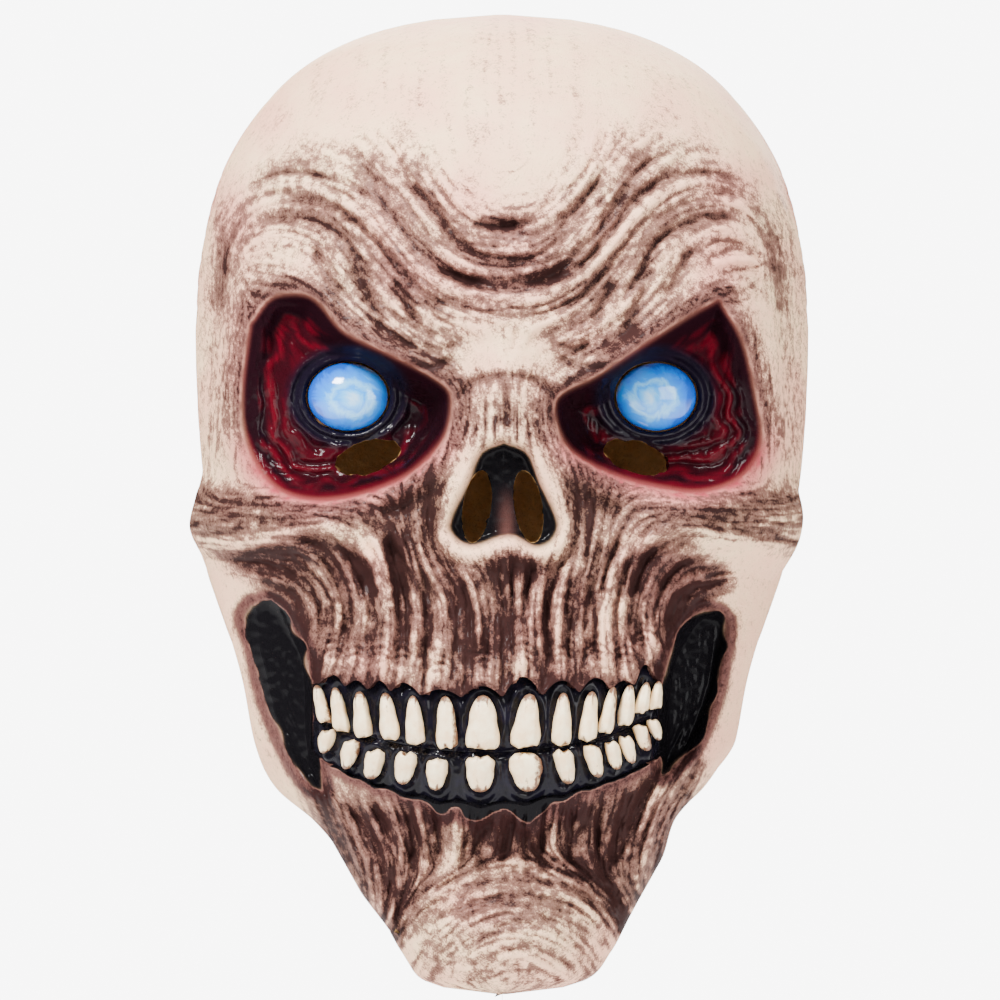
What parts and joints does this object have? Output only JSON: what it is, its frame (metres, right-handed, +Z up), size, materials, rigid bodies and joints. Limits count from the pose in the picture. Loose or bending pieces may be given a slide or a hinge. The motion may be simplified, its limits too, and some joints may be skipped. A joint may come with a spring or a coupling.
{
  "type": "latex halloween mask",
  "caption": "Over-the-head latex skull mask with wrinkled airbrushed skin, blue dome eyes, see-through slits, glossy black gums and separate stained teeth, open at the neck.",
  "frame": {"origin": "where the wearer's crown touches the inside of the skin, at the crown's highest point", "axes": "+Z up, the face looks along -Y, +X is the wearer's left"},
  "size_m": [0.19, 0.2303, 0.3],
  "materials": {
    "skin": "satin latex, airbrushed and dry-brushed",
    "seam_tape": "matt, cloth soaked in latex",
    "eye": "polished and painted",
    "eye_patch": "matt latex",
    "gum": "wet-look gloss lacquer",
    "tooth": "glazed, stained at the edges"
  },
  "bodies": {
    "root": {"face_skin": "skin", "back_skin": "skin", "seam_tape": "seam_tape", "eye_dome_right": "eye", "eye_dome_left": "eye", "eye_patch_right": "eye_patch", "eye_patch_left": "eye_patch", "upper_gum": "gum", "lower_gum": "gum", "upper_tooth_1": "tooth", "upper_tooth_2": "tooth", "upper_tooth_3": "tooth", "upper_tooth_4": "tooth", "upper_tooth_5": "tooth", "upper_tooth_6": "tooth", "upper_tooth_7": "tooth", "upper_tooth_8": "tooth", "upper_tooth_9": "tooth", "upper_tooth_10": "tooth", "upper_tooth_11": "tooth", "upper_tooth_12": "tooth", "upper_tooth_13": "tooth", "upper_tooth_14": "tooth", "lower_tooth_1": "tooth", "lower_tooth_2": "tooth", "lower_tooth_3": "tooth", "lower_tooth_4": "tooth", "lower_tooth_5": "tooth", "lower_tooth_6": "tooth", "lower_tooth_7": "tooth", "lower_tooth_8": "tooth", "lower_tooth_9": "tooth", "lower_tooth_10": "tooth", "lower_tooth_11": "tooth", "lower_tooth_12": "tooth", "lower_tooth_13": "tooth"}
  },
  "joints": []
}
